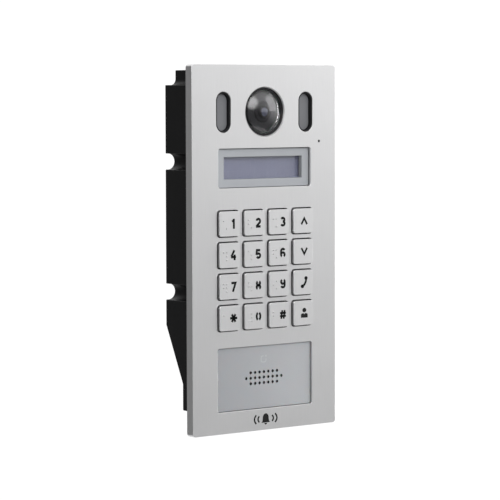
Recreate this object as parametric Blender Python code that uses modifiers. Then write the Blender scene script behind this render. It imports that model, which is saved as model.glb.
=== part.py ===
"""Door intercom panel: an aluminium front plate with camera, lights, display, keypad, card reader and
loudspeaker, in front of a black plastic housing that is sunk in a wall box.

The origin is the centre of the plate's rear plane, which lies on the wall. +X is to the right as seen by
a visitor, +Z is up, and +Y goes into the wall, so the front of the plate is at y = -PLATE_T.
"""

from math import pi, radians

import bmesh
import bpy
from mathutils import Matrix, Vector

MM = 0.001
GAP = 0.3 * MM  # clearance between pieces that touch on the real panel

# Front plate: a slab whose wall is thinned from behind, with a land for the gasket round it
PLATE_W, PLATE_H, PLATE_T = 119 * MM, 240 * MM, 6.5 * MM
PLATE_CORNER = 2.2 * MM
FRONT = -PLATE_T
WALL_BACK = FRONT + 3.5 * MM
LAND_Y = -1.0 * MM
LAND_MARGIN = 0.6 * MM
SCREW_HOLE_R, SCREW_HOLE_DEPTH = 1.5 * MM, 3.5 * MM
POCKET_HALF_W, POCKET_BOTTOM, POCKET_TOP = 50 * MM, -58 * MM, 109 * MM
SEAT_Y = WALL_BACK + GAP  # front of every flange that bears on the wall from behind

# Camera, and the light on each side of it. Its pieces run from the trim ring in to the lens barrel
LENS_Z, LENS_R = 89.3 * MM, 15.8 * MM
RING_R, RING_Y, RING_SEAT_R, RING_SEAT_Y = 14.4 * MM, -4.7 * MM, 15.1 * MM, -3.3 * MM
DOME_R, DOME_RIM_Y, DOME_RISE, DOME_WALL = RING_R - GAP, -4.9 * MM, 4.0 * MM, 1.4 * MM
SHROUD_R, SHROUD_IN_R, SHROUD_FRONT, SHROUD_BACK = 12.4 * MM, 6.8 * MM, -3.6 * MM, -0.4 * MM
BARREL_R, BARREL_BACK = 6.4 * MM, 5.6 * MM
NOSE_R, NOSE_FRONT, NOSE_BACK = 4.3 * MM, -6.4 * MM, -4.2 * MM
HOLDER_SIDE, HOLDER_FRONT, HOLDER_BACK = 17 * MM, 0.2 * MM, 5.9 * MM
CAMERA_BOARD_SIDE = 32 * MM
LIGHT_X, LIGHT_Z = 34 * MM, 89.1 * MM
LIGHT_W, LIGHT_H = 12.0 * MM, 26.6 * MM
LIGHT_REBATE_Y, LIGHT_BACK, LIGHT_BORE, LIGHT_PANE_Y = -2.3 * MM, -0.9 * MM, 1.9 * MM, -3.7 * MM
LAMP_BOARD_W, LAMP_BOARD_H, LAMP_BOARD_Y, LAMP_R, LAMP_PITCH = 13 * MM, 32 * MM, 1.6 * MM, 2.2 * MM, 8 * MM
MIC_X, MIC_Z, MIC_HOLE_R, MIC_R = 45.5 * MM, 69.6 * MM, 0.9 * MM, 2.6 * MM

# Display
DISPLAY_Z = 52.8 * MM
DISPLAY_W, DISPLAY_H, DISPLAY_CORNER = 76.6 * MM, 25.7 * MM, 1.5 * MM
DISPLAY_FRONT, DISPLAY_BACK = FRONT + 2.0 * MM, 0.2 * MM
DISPLAY_FLANGE_W, DISPLAY_FLANGE_H = 80 * MM, 28.6 * MM
VIEW_W, VIEW_H = 64.7 * MM, 14.4 * MM
WINDOW_W, WINDOW_H, WINDOW_T, WINDOW_Y = 70.8 * MM, 20.2 * MM, 0.5 * MM, -0.7 * MM
LCD_W, LCD_H, LCD_T, LCD_Y = 69 * MM, 18.4 * MM, 1.8 * MM, WINDOW_Y + WINDOW_T + GAP
LCD_BACK, LCD_BOARD_W, LCD_BOARD_H = LCD_Y + 4.6 * MM, 80 * MM, 33 * MM

# Keypad
KEY_PITCH, KEY_OPENING, KEY_CORNER = 20.44 * MM, 17.8 * MM, 2.2 * MM
KEYPAD_Z = -13.65 * MM
KEY_CLEARANCE = 0.8 * MM
KEY_FACE_Y = FRONT - 1.8 * MM
KEY_BACK_Y = SEAT_Y + 1.2 * MM
KEY_TRAVEL = 0.8 * MM
KEY_FLANGE, KEY_RIM = 1.4 * MM, 0.35 * MM
KEYPAD_SIDE, MAT_Y, MAT_T, MAT_NUB_R = 84 * MM, 0.0, 1.2 * MM, 4.5 * MM
KEY_NAMES = (
    ("1", "2", "3", "up"),
    ("4", "5", "6", "down"),
    ("7", "8", "9", "call"),
    ("star", "0", "hash", "concierge"),
)

# Card reader cover with the loudspeaker behind it
COVER_Z, COVER_W, COVER_H, COVER_CORNER = -84.8 * MM, 78.6 * MM, 41.8 * MM, 1.2 * MM
COVER_FRONT_Y, COVER_FLOOR_Y = FRONT + 1.8 * MM, FRONT + 3.3 * MM
READER_OPENING_W, READER_OPENING_H = 72 * MM, 33 * MM
READER_BOARD_Y, READER_BOARD_T = COVER_FLOOR_Y + GAP, 1.2 * MM
SPEAKER_Z, SPEAKER_R = COVER_Z - 0.4 * MM, 14 * MM
SOUND_ROWS = (7, 9, 7)
SOUND_PITCH, SOUND_ROW_PITCH, SOUND_R = 3.66 * MM, 3.6 * MM, 1.0 * MM

# Rear housing: deep behind the camera and keypad, with a ramp down to a shallow foot
HOUSING_HALF_W, HOUSING_TOP, HOUSING_BOTTOM = 55 * MM, 116.5 * MM, -104.4 * MM
HOUSING_FRONT = LAND_Y + 1.4 * MM
HOUSING_BACK, FOOT_BACK = 28.8 * MM, 10.6 * MM
RAMP_TOP, RAMP_BOTTOM = -49.7 * MM, -87.1 * MM
HOUSING_WALL = 2.0 * MM
REAR_OPENINGS_Y = 20 * MM  # where the cutters of the openings in the rear wall begin
SCREW_FLANGE_Y = HOUSING_FRONT + 2.0 * MM
WELL_R, WELL_DEPTH = 5.2 * MM, 7.0 * MM
WELL_ZS = (57.1 * MM, -27.9 * MM)
CORNER_WELL_X, CORNER_WELL_Z, CORNER_WELL_R, CORNER_WELL_SIDE = 46.8 * MM, 106.8 * MM, 4.0 * MM, 20 * MM
FOOT_WELL_X, FOOT_WELL_Z, FOOT_WELL_R = 50 * MM, -97 * MM, 3.2 * MM
SCREW_PLACES = {
    "upper": (51.6 * MM, 111.6 * MM),
    "middle": (52.4 * MM, WELL_ZS[0]),
    "lower": (52.4 * MM, WELL_ZS[1]),
    "foot": (FOOT_WELL_X, FOOT_WELL_Z),
}
SIDES = {"left": -1, "right": 1}
SCREW_R, SCREW_DEPTH, SCREW_CLEAR_R = 1.2 * MM, 3.0 * MM, 1.8 * MM
SCREW_HEAD_R, SCREW_HEAD_T = 2.6 * MM, 1.6 * MM

# Electronics on the main board, which stands off the housing's rear wall
BOARD_T = 1.6 * MM
MAIN_BOARD_Y = 14.0 * MM
MAIN_BOARD_W, MAIN_BOARD_BOTTOM, MAIN_BOARD_TOP = 86 * MM, -42 * MM, 100 * MM
BEHIND_BOARD = MAIN_BOARD_Y + BOARD_T + GAP
STANDOFF_X, STANDOFF_ZS, STANDOFF_R = 36 * MM, (94 * MM, -36 * MM), 3 * MM
CONNECTOR_BACK = HOUSING_BACK - GAP
SOCKET_X, SOCKET_Z, SOCKET_SIDE = 24 * MM, 62 * MM, 16 * MM
SOCKET_BORE_W, SOCKET_BORE_H, SOCKET_BORE_Y = 11.8 * MM, 8.2 * MM, 17.5 * MM
TERMINAL_X, TERMINAL_Z, TERMINAL_H, TERMINAL_POLES, TERMINAL_PITCH = -18 * MM, 62 * MM, 9 * MM, 8, 5.0 * MM
TERMINAL_W = TERMINAL_POLES * TERMINAL_PITCH
ENTRY_W, ENTRY_H, ENTRY_Y = 2.8 * MM, 3.2 * MM, 21 * MM
TAMPER_X, TAMPER_Z, TAMPER_TRAVEL, TAMPER_SIDE = 0.0, 16 * MM, 2.0 * MM, 12 * MM
COLLAR_Y, COLLAR_R, COLLAR_T = BEHIND_BOARD + 6.1 * MM, 3.4 * MM, 1.5 * MM
BUTTON_R, BUTTON_TIP_Y, BUTTON_CHAMFER = 2.0 * MM, HOUSING_BACK + 2.2 * MM, 0.3 * MM


def remove_everything():
    for old in list(bpy.data.objects):
        bpy.data.objects.remove(old, do_unlink=True)


def new_collection(name):
    collection = bpy.data.collections.new(name)
    bpy.context.scene.collection.children.link(collection)
    return collection


def finish(name, colour, roughness, metallic=0.0, transmission=0.0):
    """A material with the piece's colour, roughness and metallic value."""
    material = bpy.data.materials.new(name)
    material.use_nodes = True
    shader = material.node_tree.nodes["Principled BSDF"]
    shader.inputs["Base Color"].default_value = (*colour, 1.0)
    shader.inputs["Roughness"].default_value = roughness
    shader.inputs["Metallic"].default_value = metallic
    shader.inputs["Transmission Weight"].default_value = transmission
    material.diffuse_color = (*colour, 1.0)
    return material


# Shapes: each function gives a bmesh, in place


def block(x, z, width, height, y_front, y_back, corner=0.0, segments=4):
    """A box with its four edges along Y rounded."""
    shape = bmesh.new()
    bmesh.ops.create_cube(shape, size=1.0)
    bmesh.ops.scale(shape, vec=(width, y_back - y_front, height), verts=shape.verts)
    bmesh.ops.translate(shape, vec=(x, (y_front + y_back) / 2, z), verts=shape.verts)
    if corner:
        along_y = [e for e in shape.edges if abs(e.verts[0].co.y - e.verts[1].co.y) > 1e-9]
        bmesh.ops.bevel(
            shape, geom=along_y, offset=corner, segments=segments, profile=0.5, affect="EDGES"
        )
    return shape


def rod(x, z, radius, y_front, y_back, segments=24):
    """A cylinder along Y."""
    shape = bmesh.new()
    bmesh.ops.create_cone(
        shape,
        cap_ends=True,
        segments=segments,
        radius1=radius,
        radius2=radius,
        depth=y_back - y_front,
        matrix=Matrix.Rotation(pi / segments, 4, "Y") @ Matrix.Rotation(pi / 2, 4, "X"),
    )
    bmesh.ops.translate(shape, vec=(x, (y_front + y_back) / 2, z), verts=shape.verts)
    return shape


def stadium(x, z, width, height, y_front, y_back):
    """A rod pulled apart along Z into a slot with half-round ends."""
    shape = rod(x, z, width / 2, y_front, y_back, segments=24)
    for vert in shape.verts:
        vert.co.z += (height - width) / 2 * (1 if vert.co.z > z else -1)
    return shape


def face_towards(shape, direction):
    """The shape's flat face that lies furthest in a direction."""
    aim = Vector(direction)
    return max(shape.faces, key=lambda face: face.calc_center_median() @ aim)


def boss(shape, inset, height, chamfer=0.0):
    """Raises the front face of a block by a height, inset from its edge, with a chamfered rim."""
    face = face_towards(shape, (0, -1, 0))
    bmesh.ops.inset_region(shape, faces=[face], thickness=inset, depth=0.0)
    raised = bmesh.ops.extrude_discrete_faces(shape, faces=[face])["faces"][0]
    bmesh.ops.translate(shape, vec=(0, chamfer - height, 0), verts=raised.verts)
    if chamfer:
        bmesh.ops.inset_region(shape, faces=[raised], thickness=chamfer, depth=chamfer)
    return shape


def together(*shapes):
    """Several shapes that don't meet, as one, such as the openings of a keypad."""
    whole = bmesh.new()
    for shape in shapes:
        mesh = bpy.data.meshes.new("shape")
        shape.to_mesh(mesh)
        shape.free()
        whole.from_mesh(mesh)
        bpy.data.meshes.remove(mesh)
    return whole


# Objects


def piece(name, shape, material, round_shape=False):
    mesh = bpy.data.meshes.new(name)
    shape.to_mesh(mesh)
    shape.free()
    mesh.materials.append(material)
    if round_shape:
        mesh.shade_smooth()
        mesh.set_sharp_from_angle(angle=radians(30))
    made = bpy.data.objects.new(name, mesh)
    PARTS.objects.link(made)
    return made


def turned(name, profile, x, z, material, steps=36):
    """A turned piece: its profile, as (radius, y) from the front inner edge round the outside."""
    mesh = bpy.data.meshes.new(name)
    line = bmesh.new()
    points = [line.verts.new((radius, 0, -y)) for radius, y in profile]
    on_axis = profile[0][0] == 0 and profile[-1][0] == 0
    for first, second in zip(points, points[1:] + ([] if on_axis else points[:1])):
        line.edges.new((first, second))
    line.to_mesh(mesh)
    line.free()
    mesh.materials.append(material)
    made = bpy.data.objects.new(name, mesh)
    PARTS.objects.link(made)
    screw = made.modifiers.new("turn", "SCREW")
    screw.steps = screw.render_steps = steps
    screw.use_merge_vertices = True
    screw.merge_threshold = 0.00001
    screw.use_smooth_shade = True
    made.location = (x, 0, z)
    made.rotation_euler = (pi / 2, 0, 0)
    return made


def combine(target, operation, *shapes):
    """Cuts shapes from a piece, or joins them to it, one after another."""
    for number, shape in enumerate(shapes):
        name = f"{target.name}_{operation.lower()}_{len(target.modifiers)}_{number}"
        mesh = bpy.data.meshes.new(name)
        shape.to_mesh(mesh)
        shape.free()
        tool = bpy.data.objects.new(name, mesh)
        tool.display_type = "WIRE"
        tool.hide_render = True
        CUTTERS.objects.link(tool)
        modifier = target.modifiers.new(name, "BOOLEAN")
        modifier.operation = operation
        modifier.solver = "EXACT"
        modifier.object = tool
    return target


def cut(target, *shapes):
    return combine(target, "DIFFERENCE", *shapes)


def join(target, *shapes):
    return combine(target, "UNION", *shapes)


# The panel, piece by piece


def key_places():
    """(name, x, z) of each key, row by row from the top left."""
    for row, names in enumerate(KEY_NAMES):
        for column, name in enumerate(names):
            yield name, (column - 1.5) * KEY_PITCH, KEYPAD_Z + (1.5 - row) * KEY_PITCH


def screw_places():
    """(name, x, z) of each screw that holds the housing to the plate."""
    for level, (x, z) in SCREW_PLACES.items():
        for side, sign in SIDES.items():
            yield f"{level}_{side}", sign * x, z


def front_plate():
    past = 1.0 * MM  # how far a cutter runs past the face that it opens
    plate = piece(
        "front_plate",
        block(0, 0, PLATE_W, PLATE_H, FRONT, 0, PLATE_CORNER),
        finish("satin_aluminium", (0.72, 0.72, 0.73), 0.38, 0.9),
    )
    land_top, land_bottom = HOUSING_TOP + LAND_MARGIN, HOUSING_BOTTOM - LAND_MARGIN
    land = block(
        0,
        (land_top + land_bottom) / 2,
        2 * (HOUSING_HALF_W + LAND_MARGIN),
        land_top - land_bottom,
        LAND_Y,
        past,
    )
    pocket = block(
        0,
        (POCKET_TOP + POCKET_BOTTOM) / 2,
        2 * POCKET_HALF_W,
        POCKET_TOP - POCKET_BOTTOM,
        WALL_BACK,
        past,
        2 * MM,
        segments=2,
    )
    through = (FRONT - past, WALL_BACK + past)
    keys = [block(x, z, KEY_OPENING, KEY_OPENING, *through, KEY_CORNER) for _, x, z in key_places()]
    lights = [stadium(s * LIGHT_X, LIGHT_Z, LIGHT_W, LIGHT_H, *through) for s in SIDES.values()]
    openings = together(
        rod(0, LENS_Z, LENS_R, *through, segments=40),
        block(0, DISPLAY_Z, DISPLAY_W, DISPLAY_H, *through, DISPLAY_CORNER, segments=3),
        rod(MIC_X, MIC_Z, MIC_HOLE_R, *through, segments=12),
        *lights,
        *keys,
    )
    recess = (COVER_W, COVER_H, FRONT - past, COVER_FLOOR_Y, COVER_CORNER)
    cover_recess = block(0, COVER_Z, *recess, segments=3)
    reader_opening = block(
        0, COVER_Z, READER_OPENING_W, READER_OPENING_H, FRONT, past, 2 * MM, segments=2
    )
    hole_front = LAND_Y - SCREW_HOLE_DEPTH
    screw_holes = [rod(x, z, SCREW_HOLE_R, hole_front, past, segments=12) for _, x, z in screw_places()]
    cut(plate, land, pocket, openings, cover_recess, reader_opening, together(*screw_holes))


def camera():
    black = finish("black_trim", (0.02, 0.02, 0.022), 0.35)
    flange_r, flange_back = LENS_R + 2.1 * MM, SEAT_Y + 1.2 * MM
    turned(
        "camera_ring",
        [
            (RING_R, RING_Y),
            (LENS_R - GAP, RING_Y),
            (LENS_R - GAP, SEAT_Y),
            (flange_r, SEAT_Y),
            (flange_r, flange_back),
            (RING_SEAT_R, flange_back),
            (RING_SEAT_R, RING_SEAT_Y),
            (RING_R, RING_SEAT_Y),
        ],
        0,
        LENS_Z,
        black,
    )
    # The dome is a spherical cap on a short skirt, with a flange that the ring holds
    sphere_r = (DOME_R**2 + DOME_RISE**2) / (2 * DOME_RISE)
    centre_y = DOME_RIM_Y - DOME_RISE + sphere_r

    def cap(radius, distances):
        return [(r, centre_y - (radius**2 - r**2) ** 0.5) for r in distances]

    steps = 4
    inner_rim = DOME_R - DOME_WALL
    outside = cap(sphere_r, [DOME_R * i / steps for i in range(steps + 1)])
    inside = cap(sphere_r - DOME_WALL, [inner_rim * i / steps for i in range(steps, -1, -1)])
    skirt_y, foot_y = RING_SEAT_Y + GAP, -1.9 * MM
    skirt_r = RING_SEAT_R - GAP
    skirt = [(DOME_R, skirt_y), (skirt_r, skirt_y), (skirt_r, foot_y), (inner_rim, foot_y)]
    turned(
        "camera_dome",
        outside + skirt + inside,
        0,
        LENS_Z,
        finish("smoked_dome", (0.06, 0.06, 0.065), 0.03, 0.0, 0.9),
    )
    turned(
        "camera_shroud",
        [
            (SHROUD_IN_R, SHROUD_FRONT),
            (SHROUD_IN_R + 0.8 * MM, SHROUD_FRONT),
            (SHROUD_R, SHROUD_FRONT + 2 * MM),
            (SHROUD_R, SHROUD_BACK),
            (SHROUD_IN_R, SHROUD_BACK),
        ],
        0,
        LENS_Z,
        black,
        steps=32,
    )
    turned(
        "camera_lens",
        [
            (0, NOSE_FRONT),
            (NOSE_R - 0.4 * MM, NOSE_FRONT),
            (NOSE_R, NOSE_FRONT + 1 * MM),
            (NOSE_R, NOSE_BACK),
            (BARREL_R, NOSE_BACK),
            (BARREL_R, BARREL_BACK),
            (0, BARREL_BACK),
        ],
        0,
        LENS_Z,
        finish("lens_barrel", (0.03, 0.03, 0.035), 0.25, 0.4),
        steps=28,
    )
    holder = piece(
        "camera_holder",
        block(0, LENS_Z, HOLDER_SIDE, HOLDER_SIDE, HOLDER_FRONT, HOLDER_BACK, 1.5 * MM),
        black,
    )
    cut(holder, rod(0, LENS_Z, BARREL_R + GAP, HOLDER_FRONT - 1 * MM, HOLDER_BACK + 1 * MM, segments=28))
    side, board_y = CAMERA_BOARD_SIDE, HOLDER_BACK + GAP
    piece(
        "camera_board",
        block(0, LENS_Z, side, side, board_y, board_y + BOARD_T, 1 * MM, segments=2),
        finish("green_board", (0.02, 0.16, 0.07), 0.45),
    )


def light(side, sign):
    """One of the two lights: a black bezel, its clear grey window and a board with three lamps."""
    x = sign * LIGHT_X

    def slot(more, y_front, y_back):
        """The light's outline made wider and higher by an amount, between two depths."""
        return stadium(x, LIGHT_Z, LIGHT_W + more, LIGHT_H + more, y_front, y_back)

    bezel = piece(
        f"light_bezel_{side}",
        slot(3 * MM, SEAT_Y, LIGHT_BACK),
        finish("black_bezel", (0.015, 0.015, 0.017), 0.4),
        round_shape=True,
    )
    join(bezel, slot(-2 * GAP, FRONT + 0.2 * MM, -1.5 * MM))
    cut(bezel, slot(-LIGHT_BORE, FRONT - 1 * MM, 1 * MM), slot(2 * GAP, LIGHT_REBATE_Y, 1 * MM))
    window = piece(
        f"light_window_{side}",
        slot(0, LIGHT_REBATE_Y + GAP, LIGHT_BACK),
        finish("grey_window", (0.35, 0.36, 0.38), 0.25, 0.0, 0.3),
        round_shape=True,
    )
    join(window, slot(-LIGHT_BORE - 2 * GAP, LIGHT_PANE_Y, LIGHT_BACK - 0.5 * MM))
    board = piece(
        f"light_board_{side}",
        block(x, LIGHT_Z, LAMP_BOARD_W, LAMP_BOARD_H, LAMP_BOARD_Y, LAMP_BOARD_Y + BOARD_T),
        finish("lamp_board", (0.7, 0.7, 0.68), 0.5),
    )
    lamp_front = LAMP_BOARD_Y - 1.8 * MM
    for step in (-1, 0, 1):
        lamp_z = LIGHT_Z + step * LAMP_PITCH
        join(board, rod(x, lamp_z, LAMP_R, lamp_front, LAMP_BOARD_Y + 0.4 * MM, segments=10))


def display():
    frame = piece(
        "display_frame",
        block(0, DISPLAY_Z, DISPLAY_FLANGE_W, DISPLAY_FLANGE_H, SEAT_Y, DISPLAY_BACK, 1 * MM, segments=1),
        finish("display_grey", (0.38, 0.40, 0.42), 0.45),
    )
    raised = block(
        0,
        DISPLAY_Z,
        DISPLAY_W - 2 * GAP,
        DISPLAY_H - 2 * GAP,
        DISPLAY_FRONT,
        SEAT_Y + 0.7 * MM,
        DISPLAY_CORNER - GAP,
        segments=3,
    )
    join(frame, raised)
    view = block(0, DISPLAY_Z, VIEW_W, VIEW_H, FRONT - 1 * MM, 1 * MM)
    rebate = block(0, DISPLAY_Z, WINDOW_W + 2 * GAP, WINDOW_H + 2 * GAP, WINDOW_Y - GAP, 1 * MM)
    cut(frame, view, rebate)
    piece(
        "display_window",
        block(0, DISPLAY_Z, WINDOW_W, WINDOW_H, WINDOW_Y, WINDOW_Y + WINDOW_T),
        finish("clear_window", (0.9, 0.92, 0.95), 0.03, 0.0, 0.95),
    )
    piece(
        "lcd_glass",
        block(0, DISPLAY_Z, LCD_W, LCD_H, LCD_Y, LCD_Y + LCD_T),
        finish("lcd_violet", (0.22, 0.23, 0.31), 0.2),
    )
    bezel = piece(
        "lcd_bezel",
        block(0, DISPLAY_Z, WINDOW_W, WINDOW_H, LCD_Y, LCD_BACK),
        finish("lcd_can", (0.05, 0.05, 0.05), 0.4, 0.6),
    )
    cut(bezel, block(0, DISPLAY_Z, LCD_W + 2 * GAP, LCD_H + 2 * GAP, LCD_Y - 1 * MM, LCD_BACK + 1 * MM))
    board_y = LCD_BACK + GAP
    piece(
        "lcd_board",
        block(0, DISPLAY_Z, LCD_BOARD_W, LCD_BOARD_H, board_y, board_y + BOARD_T),
        finish("lcd_board_green", (0.02, 0.14, 0.06), 0.45),
    )


def keypad():
    cap_finish = finish("key_satin", (0.66, 0.66, 0.67), 0.35, 0.85)
    base_side = KEY_OPENING - 2 * KEY_CLEARANCE + 2 * KEY_FLANGE
    nub_front = KEY_BACK_Y + KEY_TRAVEL + GAP
    nubs = []
    for name, x, z in key_places():
        # Built round the origin, so that each cap's own origin lies on its line of travel
        cap = block(0, 0, base_side, base_side, SEAT_Y, KEY_BACK_Y, 2.8 * MM, segments=3)
        boss(cap, KEY_FLANGE, SEAT_Y - KEY_FACE_Y, KEY_RIM)
        piece(f"key_{name}", cap, cap_finish).location = (x, 0, z)
        nubs.append(rod(x, z, MAT_NUB_R, nub_front, MAT_Y + 0.4 * MM, segments=12))
    mat = piece(
        "keypad_mat",
        block(0, KEYPAD_Z, KEYPAD_SIDE, KEYPAD_SIDE, MAT_Y, MAT_Y + MAT_T),
        finish("mat_silicone", (0.5, 0.5, 0.5), 0.7),
    )
    join(mat, together(*nubs))
    board_y = MAT_Y + MAT_T + GAP
    piece(
        "keypad_board",
        block(0, KEYPAD_Z, KEYPAD_SIDE, KEYPAD_SIDE, board_y, board_y + BOARD_T),
        finish("keypad_board_green", (0.02, 0.15, 0.06), 0.45),
    )


def reader_and_speaker():
    cover = piece(
        "reader_cover",
        block(
            0,
            COVER_Z,
            COVER_W - 2 * GAP,
            COVER_H - 2 * GAP,
            COVER_FRONT_Y,
            COVER_FLOOR_Y - GAP,
            COVER_CORNER - GAP,
            segments=3,
        ),
        finish("cover_grey", (0.40, 0.42, 0.45), 0.3),
    )
    holes = []
    for row, count in enumerate(SOUND_ROWS):
        for column in range(count):
            x = (column - (count - 1) / 2) * SOUND_PITCH
            z = SPEAKER_Z + (1 - row) * SOUND_ROW_PITCH
            holes.append(rod(x, z, SOUND_R, FRONT, 0, segments=8))
    cut(cover, together(*holes))
    board_w, board_h = READER_OPENING_W - 4 * GAP, READER_OPENING_H - 4 * GAP
    board_back = READER_BOARD_Y + READER_BOARD_T
    antenna = piece(
        "reader_board",
        block(0, COVER_Z, board_w, board_h, READER_BOARD_Y, board_back, 1.5 * MM, segments=2),
        finish("reader_board_green", (0.02, 0.12, 0.08), 0.45),
    )
    cut(antenna, rod(0, SPEAKER_Z, SPEAKER_R + 2 * GAP, FRONT, 0, segments=32))
    foam_r, foam_y = 11.6 * MM, READER_BOARD_Y + 1 * MM
    turned(
        "speaker_gasket",
        [(foam_r, READER_BOARD_Y), (SPEAKER_R, READER_BOARD_Y), (SPEAKER_R, foam_y), (foam_r, foam_y)],
        0,
        SPEAKER_Z,
        finish("foam", (0.05, 0.05, 0.05), 0.9),
        steps=28,
    )
    turned(
        "speaker_basket",
        [
            (12.6 * MM, -1.6 * MM),
            (SPEAKER_R, -1.6 * MM),
            (SPEAKER_R, 1.2 * MM),
            (11.0 * MM, 4.6 * MM),
            (5.2 * MM, 4.6 * MM),
            (5.2 * MM, 3.6 * MM),
            (10.4 * MM, 3.6 * MM),
            (12.6 * MM, 1.2 * MM),
        ],
        0,
        SPEAKER_Z,
        finish("speaker_steel", (0.2, 0.2, 0.2), 0.4, 0.9),
        steps=28,
    )
    turned(
        "speaker_cone",
        [
            (0, -0.2 * MM),
            (4.0 * MM, 0.2 * MM),
            (9.5 * MM, -1.2 * MM),
            (12.2 * MM, -1.2 * MM),
            (12.2 * MM, -0.6 * MM),
            (9.5 * MM, -0.6 * MM),
            (4.4 * MM, 0.9 * MM),
            (4.4 * MM, 3.0 * MM),
            (3.9 * MM, 3.0 * MM),
            (3.9 * MM, 0.8 * MM),
            (0, 0.4 * MM),
        ],
        0,
        SPEAKER_Z,
        finish("cone_paper", (0.04, 0.04, 0.04), 0.8),
        steps=28,
    )
    turned(
        "speaker_magnet",
        [
            (0, 3.3 * MM),
            (4.9 * MM, 3.3 * MM),
            (4.9 * MM, 4.9 * MM),
            (8.0 * MM, 4.9 * MM),
            (8.0 * MM, 7.6 * MM),
            (0, 7.6 * MM),
        ],
        0,
        SPEAKER_Z,
        finish("magnet_plating", (0.5, 0.5, 0.5), 0.3, 1.0),
        steps=28,
    )
    boot_r, can_front, can_back = MIC_R + 1 * MM, SEAT_Y + 1.3 * MM, 1.2 * MM
    turned(
        "microphone_boot",
        [
            (MIC_HOLE_R, SEAT_Y),
            (boot_r, SEAT_Y),
            (boot_r, can_back - 0.2 * MM),
            (MIC_R + GAP, can_back - 0.2 * MM),
            (MIC_R + GAP, can_front - GAP),
            (MIC_HOLE_R, can_front - GAP),
        ],
        MIC_X,
        MIC_Z,
        finish("boot_rubber", (0.03, 0.03, 0.03), 0.8),
        steps=20,
    )
    turned(
        "microphone",
        [(0, can_front), (MIC_R, can_front), (MIC_R, can_back), (0, can_back)],
        MIC_X,
        MIC_Z,
        finish("microphone_can", (0.6, 0.6, 0.6), 0.3, 1.0),
        steps=20,
    )


def main_board():
    z = (MAIN_BOARD_TOP + MAIN_BOARD_BOTTOM) / 2
    height = MAIN_BOARD_TOP - MAIN_BOARD_BOTTOM
    past = 1.0 * MM
    piece(
        "main_board",
        block(0, z, MAIN_BOARD_W, height, MAIN_BOARD_Y, MAIN_BOARD_Y + BOARD_T),
        finish("main_board_green", (0.02, 0.15, 0.07), 0.45),
    )
    socket = piece(
        "network_socket",
        block(SOCKET_X, SOCKET_Z, SOCKET_SIDE, SOCKET_SIDE, BEHIND_BOARD, CONNECTOR_BACK),
        finish("socket_can", (0.6, 0.6, 0.6), 0.3, 1.0),
    )
    bore = (SOCKET_BORE_W, SOCKET_BORE_H, SOCKET_BORE_Y, CONNECTOR_BACK + past)
    cut(socket, block(SOCKET_X, SOCKET_Z, *bore))
    terminal = piece(
        "terminal_block",
        block(TERMINAL_X, TERMINAL_Z, TERMINAL_W, TERMINAL_H, BEHIND_BOARD, CONNECTOR_BACK),
        finish("terminal_green", (0.03, 0.28, 0.12), 0.45),
    )
    entries = []
    for pole in range(TERMINAL_POLES):
        x = TERMINAL_X + (pole - (TERMINAL_POLES - 1) / 2) * TERMINAL_PITCH
        entries.append(block(x, TERMINAL_Z, ENTRY_W, ENTRY_H, ENTRY_Y, CONNECTOR_BACK + past))
    cut(terminal, together(*entries))


def tamper():
    """A push switch on the main board, held down by the back of the wall box through its button."""
    black = finish("switch_black", (0.03, 0.03, 0.03), 0.5)
    switch_back = COLLAR_Y - TAMPER_TRAVEL - 0.4 * MM
    piece(
        "tamper_switch",
        block(TAMPER_X, TAMPER_Z, TAMPER_SIDE, TAMPER_SIDE, BEHIND_BOARD, switch_back),
        black,
    )
    turned(
        "tamper_button",
        [
            (0, COLLAR_Y),
            (COLLAR_R, COLLAR_Y),
            (COLLAR_R, COLLAR_Y + COLLAR_T),
            (BUTTON_R, COLLAR_Y + COLLAR_T),
            (BUTTON_R, BUTTON_TIP_Y - BUTTON_CHAMFER),
            (BUTTON_R - BUTTON_CHAMFER, BUTTON_TIP_Y),
            (0, BUTTON_TIP_Y),
        ],
        TAMPER_X,
        TAMPER_Z,
        finish("button_red", (0.5, 0.05, 0.04), 0.4),
        steps=20,
    )


def housing_body(half_width, top, bottom, foot_back, back, ramp_shift, front):
    """A block whose rear is cut down by a ramp to a shallow foot."""
    body = block(0, (top + bottom) / 2, 2 * half_width, top - bottom, front, back)
    ramp = bmesh.new()
    bmesh.ops.create_cube(ramp, size=1.0)
    bmesh.ops.scale(ramp, vec=(2 * half_width + 4 * MM, 1.0, 1.0), verts=ramp.verts)
    far = 10 * MM
    for vert in ramp.verts:
        low, deep = vert.co.z < 0, vert.co.y > 0
        vert.co.y = back + far if deep else foot_back
        vert.co.z = bottom - far if low else RAMP_BOTTOM + ramp_shift
    slope = (RAMP_TOP - RAMP_BOTTOM) / (HOUSING_BACK - FOOT_BACK)
    for vert in ramp.verts:
        if vert.co.y > back and vert.co.z > bottom:
            vert.co.z += slope * (back + far - foot_back)
    return body, ramp


def side_well(sign, z, radius, depth, y_front):
    """A half-round groove down the side of the housing, open to the side and to the rear."""
    reach = 6 * MM
    middle = sign * (HOUSING_HALF_W - depth + radius)
    length = HOUSING_BACK + reach
    round_end = 0.99 * radius  # just short of a half circle, so that no two edges meet
    return block(
        middle + sign * reach, z, 2 * (reach + radius), 2 * radius, y_front, length, round_end, segments=6
    )


def corner_well(sign, wall, y_front, y_back):
    """A notch in the housing's upper corner, with its inner corner rounded, or the wall round it."""
    side = CORNER_WELL_SIDE + 2 * wall
    middle_x = CORNER_WELL_X + CORNER_WELL_SIDE / 2
    middle_z = CORNER_WELL_Z + CORNER_WELL_SIDE / 2
    return block(sign * middle_x, middle_z, side, side, y_front, y_back, CORNER_WELL_R + wall, segments=6)


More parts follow.
